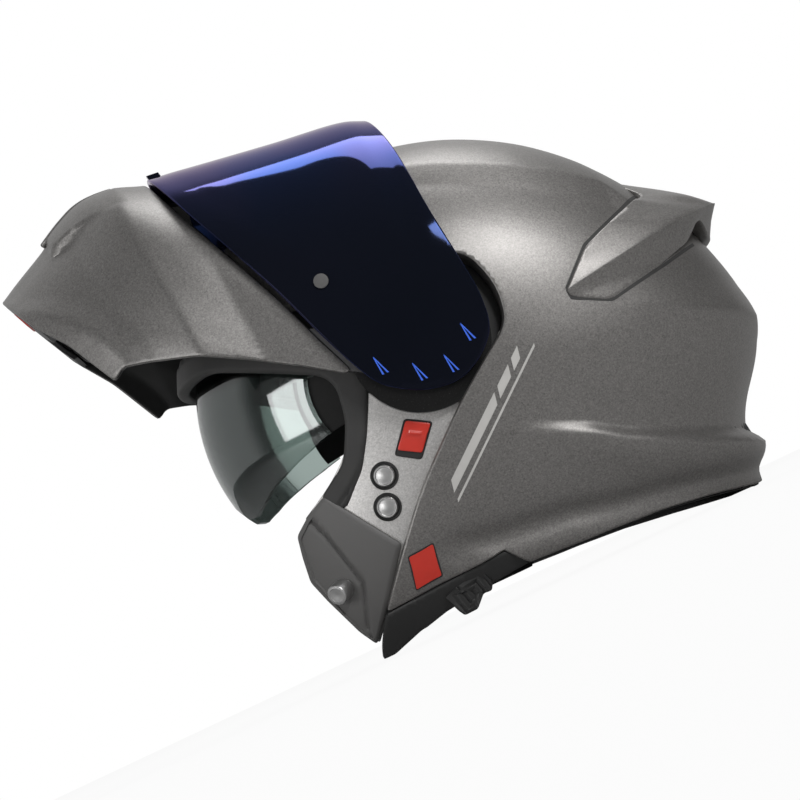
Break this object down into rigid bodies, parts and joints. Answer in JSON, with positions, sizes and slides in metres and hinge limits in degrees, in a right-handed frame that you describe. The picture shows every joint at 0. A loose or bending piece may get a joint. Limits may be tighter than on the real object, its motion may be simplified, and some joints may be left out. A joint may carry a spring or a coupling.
{
  "type": "flip-up motorcycle helmet",
  "caption": "Modular motorcycle helmet with a lifting chin bar and mirrored visor, a drop-down smoke sun visor, side latches, padded lining and a buckled chin strap",
  "frame": {"origin": "Middle of the neck opening in the plane the helmet stands on", "axes": "-X the nose, +X the back of the head, -Y the wearer's left, +Z the crown"},
  "size_m": [0.3837, 0.2568, 0.3002],
  "materials": {
    "shell_paint": "satin metallic anthracite paint over a laminate shell",
    "chin_paint": "satin metallic grey paint",
    "eps": "dark expanded foam",
    "fabric": "dark brushed lining fabric",
    "webbing": "black woven webbing",
    "rubber": "black rubber",
    "black_plastic": "fine-textured black plastic",
    "latch_plastic": "grained dark grey plastic",
    "steel": "brushed steel",
    "arm_metal": "dark aluminium",
    "visor_mirror": "dark visor with a blue and violet mirror film",
    "visor_fitting": "black plastic",
    "sun_lens": "smoke tinted lens",
    "sun_fitting": "black plastic",
    "red_plastic": "red plastic"
  },
  "bodies": {
    "shell": {"outer_shell": "shell_paint", "rear_spoiler": "shell_paint", "impact_liner": "eps", "crown_pad": "fabric", "cheek_pad_left": "fabric", "cheek_pad_right": "fabric", "neck_roll": "fabric", "lining_skirt": "fabric", "eyeport_gasket": "rubber", "rim_trim_left": "black_plastic", "rim_trim_right": "black_plastic", "rim_edging": "rubber", "latch_plate_left": "latch_plastic", "latch_plate_right": "latch_plastic", "latch_stud_left": "steel", "latch_stud_right": "steel", "snaps_left": "steel", "snaps_right": "steel", "badge_left": "red_plastic", "badge_right": "red_plastic", "base_plate_left": "black_plastic", "base_plate_right": "black_plastic", "hinge_pins": "steel", "sun_pins": "steel", "chin_strap_left": "webbing", "chin_strap_right": "webbing", "strap_buckle": "black_plastic"},
    "chin_bar": {"chin_shell": "chin_paint", "chin_arm_left": "arm_metal", "chin_arm_right": "arm_metal", "vent_cover": "black_plastic", "chin_floor": "black_plastic", "chin_liner": "eps", "breath_guard": "black_plastic", "sill_seal": "rubber", "jaw_pins": "steel", "visor_pins": "visor_fitting"},
    "visor": {"visor_shield": "visor_mirror", "visor_hub_left": "visor_fitting", "visor_hub_right": "visor_fitting", "visor_tab": "black_plastic", "fog_pins": "visor_fitting"},
    "sun_screen": {"sun_visor": "sun_lens", "sun_arm_left": "sun_fitting", "sun_arm_right": "sun_fitting"},
    "sun_knob": {"sun_slider": "black_plastic"},
    "lock": {"lock_switch": "red_plastic"},
    "shutter": {"vent_shutter": "black_plastic"},
    "button": {"release_button": "red_plastic"},
    "jaw_left": {"latch_jaw_left": "steel"},
    "jaw_right": {"latch_jaw_right": "steel"},
    "lever": {"buckle_lever": "red_plastic"}
  },
  "joints": [
    {"name": "chin_bar_flip", "type": "hinge", "parent": "shell", "child": "chin_bar", "pos_m": [-0.034, 0, 0.139], "axis": [0, -1, 0], "range_deg": [0, 78]},
    {"name": "visor_lift", "type": "hinge", "parent": "chin_bar", "child": "visor", "pos_m": [-0.013, 0, 0.128], "axis": [0, 1, 0], "range_deg": [0, 30]},
    {"name": "sun_visor_swing", "type": "hinge", "parent": "shell", "child": "sun_screen", "pos_m": [-0.054, 0, 0.1335], "axis": [0, 1, 0], "range_deg": [0, 52]},
    {"name": "sun_slider_travel", "type": "slide", "parent": "shell", "child": "sun_knob", "axis": [0.9991, -0.043, 0], "range_m": [0, 0.014]},
    {"name": "lock_switch_travel", "type": "slide", "parent": "shell", "child": "lock", "axis": [-0.6508, 0, -0.7593], "range_m": [0, 0.004]},
    {"name": "vent_shutter_travel", "type": "slide", "parent": "chin_bar", "child": "shutter", "axis": [-0.9781, 0, -0.2079], "range_m": [0, 0.008]},
    {"name": "release_button_press", "type": "slide", "parent": "chin_bar", "child": "button", "axis": [0.9781, 0, 0.2079], "range_m": [0, 0.003], "stiffness_N_per_m": 400, "springref_m": -0.002},
    {"name": "latch_jaw_left_turn", "type": "hinge", "parent": "chin_bar", "child": "jaw_left", "pos_m": [-0.1329, 0, 0.2243], "axis": [0, -1, 0], "range_deg": [0, 35]},
    {"name": "latch_jaw_right_turn", "type": "hinge", "parent": "chin_bar", "child": "jaw_right", "pos_m": [-0.1329, 0, 0.2243], "axis": [0, -1, 0], "range_deg": [0, 35]},
    {"name": "buckle_lever_lift", "type": "hinge", "parent": "shell", "child": "lever", "pos_m": [-0.036, 0.0135, 0.0217], "axis": [-1, 0, 0], "range_deg": [0, 40]}
  ],
  "couplings": [
    {"joint": "sun_slider_travel", "follows": "sun_visor_swing", "m_per_rad": 0.015426}
  ]
}
